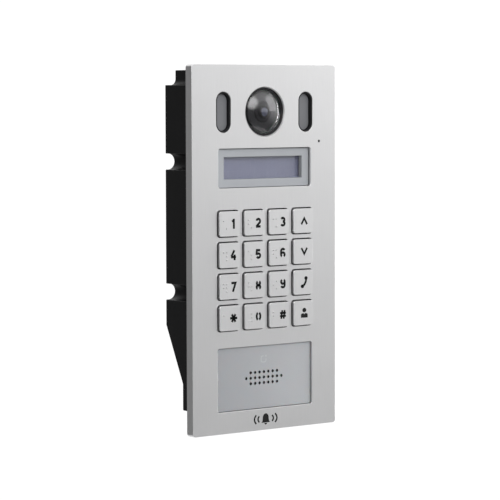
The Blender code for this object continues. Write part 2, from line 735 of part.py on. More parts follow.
def rear_housing():
    black = finish("housing_black", (0.012, 0.012, 0.013), 0.55)
    outer, outer_ramp = housing_body(
        HOUSING_HALF_W, HOUSING_TOP, HOUSING_BOTTOM, FOOT_BACK, HOUSING_BACK, 0, HOUSING_FRONT
    )
    housing = piece("rear_housing", outer, black)
    cut(housing, outer_ramp)

    wall = HOUSING_WALL
    inner, inner_ramp = housing_body(
        HOUSING_HALF_W - wall,
        HOUSING_TOP - wall,
        HOUSING_BOTTOM + wall,
        FOOT_BACK - wall,
        HOUSING_BACK - wall,
        0.8 * wall,
        HOUSING_FRONT - 1 * MM,
    )
    mesh = bpy.data.meshes.new("housing_hollow")
    inner.to_mesh(mesh)
    inner.free()
    hollow = bpy.data.objects.new("housing_hollow", mesh)
    hollow.display_type = "WIRE"
    hollow.hide_render = True
    CUTTERS.objects.link(hollow)
    cut(hollow, inner_ramp)

    # The hollow keeps clear of the posts round the screws and of the standoffs under the main board
    front, back = HOUSING_FRONT - 2 * MM, HOUSING_BACK + 2 * MM
    posts, wells = [], []
    for sign in SIDES.values():
        posts.append(corner_well(sign, wall, front, back))
        wells.append(corner_well(sign, 0, SCREW_FLANGE_Y, back))
        for z in WELL_ZS:
            posts.append(side_well(sign, z, WELL_R + wall, WELL_DEPTH + wall, front))
            wells.append(side_well(sign, z, WELL_R, WELL_DEPTH, SCREW_FLANGE_Y))
        x = sign * FOOT_WELL_X
        posts.append(block(x + sign * 3 * MM, FOOT_WELL_Z - 3 * MM, 16 * MM, 16 * MM, front, back))
        wells.append(rod(x, FOOT_WELL_Z, FOOT_WELL_R, SCREW_FLANGE_Y, back, segments=16))
        for z in STANDOFF_ZS:
            posts.append(rod(sign * STANDOFF_X, z, STANDOFF_R, BEHIND_BOARD, back, segments=12))
    cut(hollow, together(*posts))

    modifier = housing.modifiers.new("hollow", "BOOLEAN")
    modifier.operation = "DIFFERENCE"
    modifier.solver = "EXACT"
    modifier.object = hollow

    hole_back = SCREW_FLANGE_Y + 1 * MM
    screw_holes = [rod(x, z, SCREW_CLEAR_R, front, hole_back, segments=12) for _, x, z in screw_places()]
    room = 1 * MM
    rear_openings = together(
        block(SOCKET_X, SOCKET_Z, SOCKET_SIDE + room, SOCKET_SIDE + room, REAR_OPENINGS_Y, back),
        block(TERMINAL_X, TERMINAL_Z, TERMINAL_W + room, TERMINAL_H + room, REAR_OPENINGS_Y, back),
        rod(TAMPER_X, TAMPER_Z, BUTTON_R + 0.4 * MM, REAR_OPENINGS_Y, back, segments=20),
    )
    cut(housing, together(*wells), together(*screw_holes), rear_openings)


def housing_gasket():
    front, back = LAND_Y + GAP, HOUSING_FRONT - GAP
    inset = 0.4 * MM
    top, bottom = HOUSING_TOP - inset, HOUSING_BOTTOM + inset
    gasket = piece(
        "housing_gasket",
        block(0, (top + bottom) / 2, 2 * (HOUSING_HALF_W - inset), top - bottom, front, back),
        finish("gasket_rubber", (0.03, 0.03, 0.03), 0.85),
    )
    hole_top, hole_bottom = POCKET_TOP + 0.4 * MM, COVER_Z - 17 * MM
    middle = block(
        0,
        (hole_top + hole_bottom) / 2,
        2 * POCKET_HALF_W - 1 * MM,
        hole_top - hole_bottom,
        front - 1 * MM,
        back + 1 * MM,
    )
    hole_r = SCREW_CLEAR_R + 0.1 * MM
    holes = [rod(x, z, hole_r, front - 1 * MM, back + 1 * MM, segments=12) for _, x, z in screw_places()]
    cut(gasket, middle, together(*holes))


def housing_screws():
    steel = finish("screw_steel", (0.5, 0.5, 0.5), 0.3, 1.0)
    tip_y, head_y = LAND_Y - SCREW_DEPTH, SCREW_FLANGE_Y + GAP
    for name, x, z in screw_places():
        turned(
            f"housing_screw_{name}",
            [
                (0, tip_y),
                (SCREW_R, tip_y),
                (SCREW_R, head_y),
                (SCREW_HEAD_R, head_y),
                (SCREW_HEAD_R, head_y + SCREW_HEAD_T),
                (0, head_y + SCREW_HEAD_T),
            ],
            x,
            z,
            steel,
            steps=12,
        )


remove_everything()
PARTS = new_collection("door_intercom_panel")
CUTTERS = new_collection("cutters")

front_plate()
camera()
for side_name, side_sign in SIDES.items():
    light(side_name, side_sign)
display()
keypad()
reader_and_speaker()
main_board()
tamper()
rear_housing()
housing_gasket()
housing_screws()
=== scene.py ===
"""Door intercom panel: its finished surfaces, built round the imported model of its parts.

Everything is in metres. +X is the visitor's right, +Z is up and +Y goes into the wall, with the origin at
the centre of the front plate's rear face.
"""

from math import cos, pi, radians, sin

import bmesh
import bpy
from mathutils import Euler, Matrix, Vector


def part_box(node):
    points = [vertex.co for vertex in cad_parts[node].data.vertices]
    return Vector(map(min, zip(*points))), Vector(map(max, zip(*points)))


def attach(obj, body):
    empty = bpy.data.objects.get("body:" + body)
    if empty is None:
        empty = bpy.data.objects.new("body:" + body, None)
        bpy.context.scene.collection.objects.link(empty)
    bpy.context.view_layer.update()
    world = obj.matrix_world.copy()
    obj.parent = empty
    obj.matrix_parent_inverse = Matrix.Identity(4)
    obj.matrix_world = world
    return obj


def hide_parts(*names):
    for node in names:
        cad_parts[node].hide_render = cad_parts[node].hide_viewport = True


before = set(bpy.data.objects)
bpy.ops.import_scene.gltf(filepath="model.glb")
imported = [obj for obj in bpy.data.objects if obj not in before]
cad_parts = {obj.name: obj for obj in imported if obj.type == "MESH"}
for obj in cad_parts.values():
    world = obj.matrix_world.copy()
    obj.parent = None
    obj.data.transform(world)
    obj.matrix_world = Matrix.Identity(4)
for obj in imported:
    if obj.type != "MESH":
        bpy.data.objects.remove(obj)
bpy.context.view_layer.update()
MM = 0.001

# Camera. A long lens stands 1.5 m off, to the visitor's left of the panel and a little above its middle.
# It looks very slightly down, so that the plate's upright edges stay nearly parallel.
camera_data = bpy.data.cameras.new("studio_camera")
camera_data.sensor_width = 36.0
camera_data.lens = 168.2
camera = bpy.data.objects.new("studio_camera", camera_data)
camera.location = (-0.9428, -1.2103, 0.0982)
camera.rotation_euler = Euler((radians(86.28), radians(0.15), radians(-37.70)))
bpy.context.scene.collection.objects.link(camera)
bpy.context.scene.camera = camera

# Studio. The panel hangs over a pale paper floor in a white room, whose light falls off from the upper
# right to the lower left, with a bright cloud in front that the camera's dome mirrors. Four softboxes help:
# the key light on the plate, a fill beside the camera that reaches into the recesses, one behind for the
# plate's left side, and a tall one at the right that draws a line along the dome's edge.
FLOOR_Z, FLOOR_R = -0.5, 0.75


def blank_material(name):
    """A new material, with its shader and the socket of places that its patterns read."""
    material = bpy.data.materials.new(name)
    material.use_nodes = True
    nodes, links = material.node_tree.nodes, material.node_tree.links
    place = nodes.new("ShaderNodeTexCoord").outputs["Object"]
    return material, nodes, links, nodes["Principled BSDF"], place


def soft_noise(nodes, links, source, scale, detail=4.0, roughness=0.5):
    """A noise pattern, its scale in turns a metre, read from a socket of places."""
    noise = nodes.new("ShaderNodeTexNoise")
    noise.inputs["Scale"].default_value = scale
    noise.inputs["Detail"].default_value = detail
    noise.inputs["Roughness"].default_value = roughness
    links.new(source, noise.inputs["Vector"])
    return noise.outputs["Fac"]


def shaded(nodes, links, source, dark, light, low=0.3, high=0.7):
    """A colour that runs from dark to light with a pattern."""
    ramp = nodes.new("ShaderNodeValToRGB")
    ramp.color_ramp.elements[0].position = low
    ramp.color_ramp.elements[0].color = (*dark, 1.0)
    ramp.color_ramp.elements[1].position = high
    ramp.color_ramp.elements[1].color = (*light, 1.0)
    links.new(source, ramp.inputs["Fac"])
    return ramp.outputs["Color"]


def floor_paper():
    material, nodes, links, shader, place = blank_material("pale_paper")
    shader.inputs["Roughness"].default_value = 0.9
    fibre = soft_noise(nodes, links, place, 400.0)
    shade = shaded(nodes, links, fibre, (0.66, 0.66, 0.66), (0.70, 0.70, 0.70))
    links.new(shade, shader.inputs["Base Color"])
    return material


floor_shape = bmesh.new()
bmesh.ops.create_circle(floor_shape, cap_ends=True, segments=96, radius=FLOOR_R)
bmesh.ops.translate(floor_shape, vec=(0, 0, FLOOR_Z), verts=floor_shape.verts)
floor_mesh = bpy.data.meshes.new("studio_floor")
floor_shape.to_mesh(floor_mesh)
floor_shape.free()
floor_mesh.materials.append(floor_paper())
floor = bpy.data.objects.new("studio_floor", floor_mesh)
bpy.context.scene.collection.objects.link(floor)


def white_room(dim, bright, axis, low, high, cloud, cloud_edge, cloud_core, cloud_glow):
    """A world that looks white, and lights the panel with a soft rise along an axis and a bright cloud.

    The cloud's edge and core are given as angles from its middle, in degrees.
    """
    world = bpy.data.worlds.new("white_room")
    world.use_nodes = True
    nodes, links = world.node_tree.nodes, world.node_tree.links
    seen = nodes["Background"]
    seen.inputs["Color"].default_value = (1, 1, 1, 1)
    seen.inputs["Strength"].default_value = 1.05
    lit = nodes.new("ShaderNodeBackground")
    direction = nodes.new("ShaderNodeTexCoord").outputs["Generated"]
    along = nodes.new("ShaderNodeVectorMath")
    along.operation = "DOT_PRODUCT"
    links.new(direction, along.inputs[0])
    along.inputs[1].default_value = axis
    rise = nodes.new("ShaderNodeMapRange")
    rise.interpolation_type = "SMOOTHSTEP"
    rise.inputs["From Min"].default_value = low
    rise.inputs["From Max"].default_value = high
    rise.inputs["To Min"].default_value = dim
    rise.inputs["To Max"].default_value = bright
    links.new(along.outputs["Value"], rise.inputs["Value"])
    towards = nodes.new("ShaderNodeVectorMath")
    towards.operation = "DOT_PRODUCT"
    links.new(direction, towards.inputs[0])
    towards.inputs[1].default_value = Vector(cloud).normalized()
    glow = nodes.new("ShaderNodeMapRange")
    glow.interpolation_type = "SMOOTHSTEP"
    glow.inputs["From Min"].default_value = cos(radians(cloud_edge))
    glow.inputs["From Max"].default_value = cos(radians(cloud_core))
    glow.inputs["To Min"].default_value = 0.0
    glow.inputs["To Max"].default_value = cloud_glow
    links.new(towards.outputs["Value"], glow.inputs["Value"])
    both = nodes.new("ShaderNodeMath")
    both.operation = "ADD"
    links.new(rise.outputs["Result"], both.inputs[0])
    links.new(glow.outputs["Result"], both.inputs[1])
    links.new(both.outputs["Value"], lit.inputs["Strength"])
    choose = nodes.new("ShaderNodeMixShader")
    links.new(nodes.new("ShaderNodeLightPath").outputs["Is Camera Ray"], choose.inputs["Fac"])
    links.new(lit.outputs["Background"], choose.inputs[1])
    links.new(seen.outputs["Background"], choose.inputs[2])
    links.new(choose.outputs["Shader"], nodes["World Output"].inputs["Surface"])
    return world


def softbox(name, place, aim, width, height, watts):
    """A flat soft light at a place, turned towards a point."""
    light = bpy.data.lights.new(name, "AREA")
    light.shape = "RECTANGLE"
    light.size, light.size_y = width, height
    light.energy = watts
    box = bpy.data.objects.new(name, light)
    box.location = place
    box.rotation_euler = (Vector(aim) - Vector(place)).to_track_quat("-Z", "Y").to_euler()
    bpy.context.scene.collection.objects.link(box)
    return box


bpy.context.scene.world = white_room(
    dim=0.22,
    bright=1.60,
    axis=(0.6, 0.0, 1.0),
    low=0.03,
    high=0.61,
    cloud=(-0.14, -0.88, 0.44),
    cloud_edge=24,
    cloud_core=2,
    cloud_glow=6.5,
)
bpy.context.scene.view_settings.view_transform = "Standard"
softbox("softbox_key", (1.9, -1.1, 0.75), (0, 0, 0.05), 1.3, 1.3, 8.0)
softbox("softbox_fill", (-1.05, -1.25, 0.35), (0, 0, 0), 0.5, 0.5, 6.5)
softbox("softbox_back", (-1.25, 1.5, 0.0), (0, 0, 0), 1.0, 1.4, 0.45)
softbox("softbox_side", (1.2, -0.05, -0.05), (0, 0, 0.05), 0.14, 0.9, 3.6)


# Front plate. The real plate is a milled slab of aluminium, brushed downwards and then anodised. Its outer
# edge and the mouths of its openings are broken with a small round, which catches the light. The camera's
# bore has a wider chamfer, coloured darker as painted shade, and the microphone's drilled hole is left sharp.
PLATE_ROUND, MIC_X, MIC_Z, MIC_AREA = 0.22 * MM, 45.5 * MM, 69.6 * MM, 3.0 * MM
BORE_CHAMFER, BORE_AREA, SAME_LEVEL, CHAMFER_SLOPE = 0.65 * MM, 17.0 * MM, 0.02 * MM, 0.1


def vary_gloss(nodes, links, shader, source, low, high):
    """A roughness that runs between two values with a pattern."""
    gloss = nodes.new("ShaderNodeMapRange")
    gloss.inputs["To Min"].default_value = low
    gloss.inputs["To Max"].default_value = high
    links.new(source, gloss.inputs["Value"])
    links.new(gloss.outputs["Result"], shader.inputs["Roughness"])


def add_grain(nodes, links, shader, source, strength, height):
    """A fine relief over the surface that follows a pattern."""
    bump = nodes.new("ShaderNodeBump")
    bump.inputs["Strength"].default_value = strength
    bump.inputs["Distance"].default_value = height
    links.new(source, bump.inputs["Height"])
    links.new(bump.outputs["Normal"], shader.inputs["Normal"])


def brushed_metal(name, colour, roughness, streak, across=2600.0, run=0.02):
    """Satin metal with fine streaks that run down it, and faint clouds in its anodising."""
    material, nodes, links, shader, place = blank_material(name)
    shader.inputs["Metallic"].default_value = 1.0
    stretch = nodes.new("ShaderNodeMapping")
    stretch.inputs["Scale"].default_value = (1.0, 1.0, run)
    links.new(place, stretch.inputs["Vector"])
    brush = soft_noise(nodes, links, stretch.outputs["Vector"], across)
    cloud = soft_noise(nodes, links, place, 45.0, detail=6.0)
    blend = nodes.new("ShaderNodeMix")
    blend.inputs["Factor"].default_value = 0.35
    links.new(brush, blend.inputs["A"])
    links.new(cloud, blend.inputs["B"])
    dark = [c * (1 - streak) for c in colour]
    light = [min(1.0, c * (1 + streak)) for c in colour]
    links.new(shaded(nodes, links, blend.outputs["Result"], dark, light), shader.inputs["Base Color"])
    vary_gloss(nodes, links, shader, brush, roughness - 0.05, roughness + 0.05)
    add_grain(nodes, links, shader, brush, 0.15, 0.02 * MM)
    return material


def merged_copy(node):
    """A CAD node's shape, with its doubles merged and each flat made one face as far as it goes."""
    shape = bmesh.new()
    shape.from_mesh(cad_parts[node].data)
    bmesh.ops.remove_doubles(shape, verts=shape.verts, dist=0.002 * MM)
    bmesh.ops.dissolve_limit(
        shape, angle_limit=radians(0.5), verts=shape.verts, edges=shape.edges, delimit=set()
    )
    return shape


def round_edges(shape, width, segments=3, sharpest=35, keep=None):
    """Rounds the edges that turn by more than an angle in degrees, except where they are to keep sharp."""
    hard = [
        edge
        for edge in shape.edges
        if len(edge.link_faces) == 2
        and edge.calc_face_angle(0.0) > radians(sharpest)
        and not (keep and keep(edge.verts[0].co))
    ]
    bmesh.ops.bevel(
        shape,
        geom=hard,
        offset=width,
        offset_type="OFFSET",
        segments=segments,
        profile=0.5,
        affect="EDGES",
        material=-1,
        clamp_overlap=False,
        loop_slide=True,
    )
    return shape


def finished(name, shape, material, body="panel", replaces=()):
    """A shape as a piece on its body, smooth where it is round, standing for the CAD nodes it replaces."""
    mesh = bpy.data.meshes.new(name)
    shape.to_mesh(mesh)
    shape.free()
    mesh.materials.append(material)
    mesh.shade_smooth()
    mesh.set_sharp_from_angle(angle=radians(50))
    made = bpy.data.objects.new(name, mesh)
    bpy.context.scene.collection.objects.link(made)
    level = made.modifiers.new("level_flats", "WEIGHTED_NORMAL")
    level.keep_sharp = True
    if replaces:
        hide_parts(*replaces)
    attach(made, body)
    return made


def by_round_hole(place):
    """Whether a place is at the microphone's hole, left sharp, or the camera's bore, chamfered below."""
    off_microphone = Vector((place.x - MIC_X, place.z - MIC_Z)).length
    off_camera = Vector((place.x - LENS_X, place.z - LENS_Z)).length
    return off_microphone < MIC_AREA or off_camera < BORE_AREA


def at_camera_rim(edge):
    """Whether an edge runs round the front of the camera's bore."""
    return all(
        v.co.y < PLATE_FRONT + 0.1 * MM and Vector((v.co.x - LENS_X, v.co.z - LENS_Z)).length < BORE_AREA
        for v in edge.verts
    )


plate_finish = brushed_metal("plate_satin_aluminium", (0.66, 0.66, 0.665), 0.36, 0.03)
PLATE_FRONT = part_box("front_plate")[0].y
lens_low, lens_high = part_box("camera_ring")
LENS_X, LENS_Z = (lens_low.x + lens_high.x) / 2, (lens_low.z + lens_high.z) / 2
plate = round_edges(merged_copy("front_plate"), PLATE_ROUND, keep=by_round_hole)
bmesh.ops.bevel(
    plate,
    geom=[edge for edge in plate.edges if at_camera_rim(edge)],
    offset=BORE_CHAMFER,
    segments=1,
    profile=0.5,
    affect="EDGES",
    material=-1,
    clamp_overlap=False,
)
plate_piece = finished("plate_brushed", plate, plate_finish, replaces=["front_plate"])
# Painted shade: the faces of the bore's chamfer take a darker aluminium, so that the edge reads as shaded.
plate_piece.data.materials.append(brushed_metal("bore_edge_painted_shade", (0.34, 0.34, 0.345), 0.42, 0.03))
for face in plate_piece.data.polygons:
    off_lens = Vector((face.center.x - LENS_X, face.center.z - LENS_Z)).length
    if off_lens < BORE_AREA and abs(face.normal.y + cos(radians(45))) < CHAMFER_SLOPE:
        face.material_index = 1
for edge in plate_piece.data.edges:
    ends = [plate_piece.data.vertices[index].co for index in edge.vertices]
    off_lens = [Vector((end.x - LENS_X, end.z - LENS_Z)).length for end in ends]
    runs_round = abs(off_lens[0] - off_lens[1]) < SAME_LEVEL and abs(ends[0].y - ends[1].y) < SAME_LEVEL
    if max(off_lens) < BORE_AREA and runs_round:
        edge.use_edge_sharp = True


# Bell sign. The plate carries one small sign in black ink under the card reader: a plain bell with two
# sound waves on each side, printed flat on the metal.
MARK_Z, MARK_PROUD, MARK_LINE = -112.6 * MM, 0.03 * MM, 1.15 * MM
BELL_TOP, BELL_W, BELL_H, CLAPPER_Z, CLAPPER_R = 0.4 * MM, 2.5 * MM, 3.2 * MM, -2.8 * MM, 1.1 * MM
BELL_SKIRT = [(3.6 * MM, -2.5 * MM), (2.7 * MM, -1.4 * MM)]
WAVES, WAVE_SPAN, WAVE_FLAT = (6.4 * MM, 9.4 * MM), 34, 0.55


# Black ink for the printed signs, also used as painted shade on the walls of the sound holes.
def black_ink_and_painted_shade():
    material, nodes, links, shader, place = blank_material("black_ink_and_painted_shade")
    fleck = soft_noise(nodes, links, place, 3000.0)
    shade = shaded(nodes, links, fleck, (0.003, 0.003, 0.003), (0.005, 0.005, 0.005))
    links.new(shade, shader.inputs["Base Color"])
    shader.inputs["Roughness"].default_value = 0.55
    shader.inputs["Specular IOR Level"].default_value = 0.2
    return material


def arc(x, z, radius_x, radius_z, start, end, steps=14):
    """Points along part of an ellipse, its angles in degrees from +X towards +Z."""
    turns = [radians(start + (end - start) * step / steps) for step in range(steps + 1)]
    return [(x + radius_x * cos(turn), z + radius_z * sin(turn)) for turn in turns]


def stroke(shape, path, width):
    """A flat line of even width along a path: an edge laid across its start is extruded point by point."""
    points = [Vector((x, 0, z)) for x, z in path]
    steps = [(b - a).normalized() for a, b in zip(points, points[1:])]
    edge = None
    for number, point in enumerate(points):
        before, after = steps[max(number - 1, 0)], steps[min(number, len(steps) - 1)]
        along = (before + after).normalized()
        reach = width / 2 / max(along.dot(after), 0.5)
        across = Vector((-along.z, 0, along.x)) * reach
        if edge is None:
            edge = shape.edges.new((shape.verts.new(point + across), shape.verts.new(point - across)))
            continue
        left = edge.verts[0]
        grown = bmesh.ops.extrude_edge_only(shape, edges=[edge])["geom"]
        edge = next(item for item in grown if isinstance(item, bmesh.types.BMEdge))
        first, second = edge.verts
        if not any(first in e.verts and left in e.verts for e in left.link_edges):
            first, second = second, first
        first.co, second.co = point + across, point - across
        if edge.verts[0] is not first:
            edge = shape.edges.get((first, second))
    return shape


def raised(shape, y_front, y_back, x=0.0, z=0.0):
    """A flat sign made a thin solid between two depths, moved to its place."""
    bmesh.ops.recalc_face_normals(shape, faces=shape.faces)
    top = bmesh.ops.extrude_face_region(shape, geom=list(shape.faces), use_keep_orig=True)["geom"]
    bmesh.ops.translate(
        shape, vec=(0, y_back - y_front, 0), verts=[v for v in top if isinstance(v, bmesh.types.BMVert)]
    )
    bmesh.ops.translate(shape, vec=(x, y_front, z), verts=shape.verts)
    bmesh.ops.recalc_face_normals(shape, faces=shape.faces)
    return shape


ink_and_painted_shade = black_ink_and_painted_shade()
bell = bmesh.new()
bell_dome = arc(0, BELL_TOP, BELL_W, BELL_H, 0, 180)
bell_outline = [*BELL_SKIRT, *bell_dome, *[(-x, z) for x, z in reversed(BELL_SKIRT)]]
bell.faces.new([bell.verts.new((x, 0, z)) for x, z in bell_outline])
bell.faces.new([bell.verts.new((x, 0, z)) for x, z in arc(0, CLAPPER_Z, CLAPPER_R, CLAPPER_R, 180, 360)])
for side in (0, 180):
    for radius in WAVES:
        stroke(bell, arc(0, 0, radius, radius * WAVE_FLAT, side - WAVE_SPAN, side + WAVE_SPAN), MARK_LINE)
finished(
    "plate_sign", raised(bell, PLATE_FRONT - MARK_PROUD, PLATE_FRONT + 0.1 * MM, z=MARK_Z), ink_and_painted_shade
)


# Camera. A turned black trim ring stands a little below the plate's face and clamps a smoked dome. Under
# the dome a stepped black cone leads down to the lens, which a square holder carries on its own board.
RING_IN, RING_SEAT, RING_OUT, RING_FLANGE = 14.4 * MM, 15.1 * MM, 15.5 * MM, 17.9 * MM
RING_FRONT, SEAT_Y, FLANGE_Y, RING_BACK = -4.7 * MM, -3.3 * MM, -2.7 * MM, -1.5 * MM
DOME_R, DOME_RIM_Y, DOME_RISE, DOME_WALL = 14.1 * MM, -4.9 * MM, 4.0 * MM, 1.4 * MM
DOME_FOOT_R, DOME_FOOT_Y, DOME_BACK, DOME_STEPS = 14.8 * MM, -3.0 * MM, -1.9 * MM, 18


def moulded_plastic(name, colour, roughness, grain=0.25 * MM, depth=0.010 * MM, spread=0.12, shine=0.5):
    """Moulded plastic: an even colour with faint flow marks, and the fine grain of the mould."""
    material, nodes, links, shader, place = blank_material(name)
    shader.inputs["Specular IOR Level"].default_value = shine
    flow = soft_noise(nodes, links, place, 60.0, detail=5.0)
    dark, light = [c * (1 - spread) for c in colour], [min(1.0, c * (1 + spread)) for c in colour]
    links.new(shaded(nodes, links, flow, dark, light), shader.inputs["Base Color"])
    fine = soft_noise(nodes, links, place, 1 / grain, detail=3.0)
    vary_gloss(nodes, links, shader, fine, max(0.0, roughness - 0.06), roughness + 0.06)
    add_grain(nodes, links, shader, fine, 0.4, depth)
    return material


def smoked_glass():
    """Dark clear plastic with a polished face, very slightly uneven from its moulding."""
    material, nodes, links, shader, place = blank_material("smoked_dome")
    shader.inputs["Transmission Weight"].default_value = 1.0
    shader.inputs["IOR"].default_value = 1.49
    haze = soft_noise(nodes, links, place, 90.0)
    links.new(shaded(nodes, links, haze, (0.66, 0.66, 0.68), (0.72, 0.72, 0.74)), shader.inputs["Base Color"])
    vary_gloss(nodes, links, shader, haze, 0.03, 0.07)
    return material


def turned(outline, x, z, steps=96, closed=True):
    """An outline of (radius, y) points spun round an axis along Y, its poles and seam closed."""
    shape = bmesh.new()
    points = [shape.verts.new((radius, y, 0)) for radius, y in outline]
    pairs = zip(points, points[1:] + points[:1]) if closed else zip(points, points[1:])
    edges = [shape.edges.new(pair) for pair in pairs]
    bmesh.ops.spin(
        shape, geom=points + edges, axis=(0, 1, 0), cent=(0, 0, 0), angle=2 * pi, steps=steps, use_merge=True
    )
    bmesh.ops.remove_doubles(shape, verts=shape.verts, dist=0.001 * MM)
    bmesh.ops.recalc_face_normals(shape, faces=shape.faces)
    bmesh.ops.translate(shape, vec=(x, 0, z), verts=shape.verts)
    return shape


black_trim = moulded_plastic("black_trim", (0.008, 0.008, 0.009), 0.32, shine=0.3)
ring_outline = [
    (RING_IN, RING_FRONT),
    (RING_OUT, RING_FRONT),
    (RING_OUT, FLANGE_Y),
    (RING_FLANGE, FLANGE_Y),
    (RING_FLANGE, RING_BACK),
    (RING_SEAT, RING_BACK),
    (RING_SEAT, SEAT_Y),
    (RING_IN, SEAT_Y),
]
finished(
    "camera_trim_ring",
    round_edges(turned(ring_outline, LENS_X, LENS_Z), 0.2 * MM),
    black_trim,
    replaces=["camera_ring"],
)


def dome_cap(radius, reach, centre_y, steps):
    """Points of a spherical cap from its crown to a distance from the axis."""
    rows = [reach * step / steps for step in range(steps + 1)]
    return [(row, centre_y - (radius**2 - row**2) ** 0.5) for row in rows]


dome_sphere = (DOME_R**2 + DOME_RISE**2) / (2 * DOME_RISE)
dome_centre = DOME_RIM_Y - DOME_RISE + dome_sphere
inner_reach = DOME_R - DOME_WALL
dome_outline = [
    *dome_cap(dome_sphere, DOME_R, dome_centre, DOME_STEPS),
    (DOME_R, DOME_FOOT_Y),
    (DOME_FOOT_R, DOME_FOOT_Y),
    (DOME_FOOT_R, DOME_BACK),
    (inner_reach, DOME_BACK),
    *reversed(dome_cap(dome_sphere - DOME_WALL, inner_reach, dome_centre, DOME_STEPS)),
]
finished(
    "camera_smoked_dome",
    turned(dome_outline, LENS_X, LENS_Z, closed=False),
    smoked_glass(),
    replaces=["camera_dome"],
)

# The cone's five steps trap stray light, and each step's lip shows through the dome as a fine ring.
CONE_STEPS, CONE_IN, CONE_OUT, CONE_TOP, CONE_FOOT = 5, 6.8 * MM, 12.4 * MM, -3.5 * MM, -0.5 * MM
CONE_WALL, CONE_RIM = 0.5 * MM, 0.9 * MM
cone_outline = [(CONE_IN, CONE_FOOT), (CONE_IN, CONE_TOP)]
for step in range(CONE_STEPS):
    share, following = step / CONE_STEPS, (step + 1) / CONE_STEPS
    lip = CONE_IN + CONE_WALL + (CONE_OUT - CONE_IN - CONE_WALL) * share
    foot = CONE_IN + CONE_WALL + (CONE_OUT - CONE_IN - CONE_WALL) * following
    level = CONE_TOP + (CONE_FOOT - CONE_RIM - CONE_TOP) * share
    drop = CONE_TOP + (CONE_FOOT - CONE_RIM - CONE_TOP) * following
    cone_outline += [(lip, level), (foot - 0.15 * MM, level + (drop - level) * 0.35), (foot, drop)]
cone_outline += [(CONE_OUT, CONE_FOOT)]
finished(
    "camera_stepped_cone",
    turned(cone_outline, LENS_X, LENS_Z),
    moulded_plastic("cone_black", (0.07, 0.07, 0.073), 0.22, shine=0.8),
    replaces=["camera_shroud"],
)
EYE_R, NOSE_R, BARREL_R = 2.9 * MM, 4.3 * MM, 6.4 * MM
NOSE_FRONT, BARREL_FRONT, BARREL_BACK = -6.4 * MM, -4.2 * MM, 5.6 * MM
lens_barrel = [
    (EYE_R, NOSE_FRONT + 0.5 * MM),
    (3.3 * MM, NOSE_FRONT),
    (3.9 * MM, NOSE_FRONT),
    (NOSE_R, NOSE_FRONT + 0.4 * MM),
    (NOSE_R, BARREL_FRONT),
    (BARREL_R, BARREL_FRONT),
    (BARREL_R, BARREL_BACK),
    (EYE_R, BARREL_BACK),
]
finished(
    "camera_lens_barrel",
    round_edges(turned(lens_barrel, LENS_X, LENS_Z), 0.12 * MM),
    moulded_plastic("lens_barrel_black", (0.03, 0.03, 0.034), 0.22),
    replaces=["camera_lens"],
)


def coated_glass():
    """The lens's front glass: nearly black, with the blue sheen of its coating."""
    material, nodes, links, shader, place = blank_material("coated_lens")
    tint = soft_noise(nodes, links, place, 350.0)
    links.new(shaded(nodes, links, tint, (0.12, 0.14, 0.22), (0.17, 0.19, 0.29)), shader.inputs["Base Color"])
    shader.inputs["Roughness"].default_value = 0.08
    shader.inputs["Specular IOR Level"].default_value = 0.9
    shader.inputs["Coat Weight"].default_value = 1.0
    shader.inputs["Coat Roughness"].default_value = 0.03
    return material


GLASS_R, GLASS_FRONT, GLASS_BACK, GLASS_SPHERE = 2.85 * MM, -6.35 * MM, -5.0 * MM, 5.0 * MM
lens_glass = [
    *dome_cap(GLASS_SPHERE, GLASS_R, GLASS_FRONT + GLASS_SPHERE, 10),
    (GLASS_R, GLASS_BACK),
    (0.0, GLASS_BACK),
]
finished(
    "camera_lens_glass", turned(lens_glass, LENS_X, LENS_Z, steps=64, closed=False), coated_glass()
)


def board_finish(name, mask, track):
    """A circuit board: solder mask over copper tracks, which show as a paler, raised net of lines."""
    material, nodes, links, shader, place = blank_material(name)
    shader.inputs["Roughness"].default_value = 0.38
    net = nodes.new("ShaderNodeTexVoronoi")
    net.distance = "MANHATTAN"
    net.feature = "F2"
    net.inputs["Scale"].default_value = 260.0
    links.new(place, net.inputs["Vector"])
    shade = shaded(nodes, links, net.outputs["Distance"], track, mask, 0.48, 0.54)
    links.new(shade, shader.inputs["Base Color"])
    add_grain(nodes, links, shader, net.outputs["Distance"], 0.3, 0.03 * MM)
    return material


def repaint(node, material):
    """A CAD node keeps its shape and takes a new finish."""
    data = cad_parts[node].data
    data.materials.clear()
    data.materials.append(material)


green_board = board_finish("green_board", (0.012, 0.10, 0.045), (0.03, 0.19, 0.08))
repaint("camera_board", green_board)
repaint("camera_holder", black_trim)


# Lights. On each side of the camera a black bezel lines a slot in the plate. A satin grey window sits deep
# in it, in front of a white board with three lamps, and comes in from behind.
window_grey = moulded_plastic("light_window_grey", (0.145, 0.148, 0.157), 0.45, spread=0.04, shine=0.3)
white_board = board_finish("white_board", (0.62, 0.62, 0.60), (0.70, 0.70, 0.68))
for side_name in ("left", "right"):
    finished(
        f"light_lining_{side_name}",
        round_edges(merged_copy(f"light_bezel_{side_name}"), 0.15 * MM, segments=2),
        black_trim,
        replaces=[f"light_bezel_{side_name}"],
    )
    finished(
        f"light_pane_{side_name}",
        round_edges(merged_copy(f"light_window_{side_name}"), 0.2 * MM, segments=2),
        window_grey,
        replaces=[f"light_window_{side_name}"],
    )
    repaint(f"light_board_{side_name}", white_board)


# Display. A pale blue-grey moulded frame carries a thin clear window over a two-line liquid crystal
# display. The display's glass sits in a folded steel can on its own board.
frame_plastic = moulded_plastic("display_frame_grey", (0.300, 0.312, 0.331), 0.42, spread=0.03)
finished(
    "display_surround",
    round_edges(merged_copy("display_frame"), 0.35 * MM),
    frame_plastic,
    replaces=["display_frame"],
)


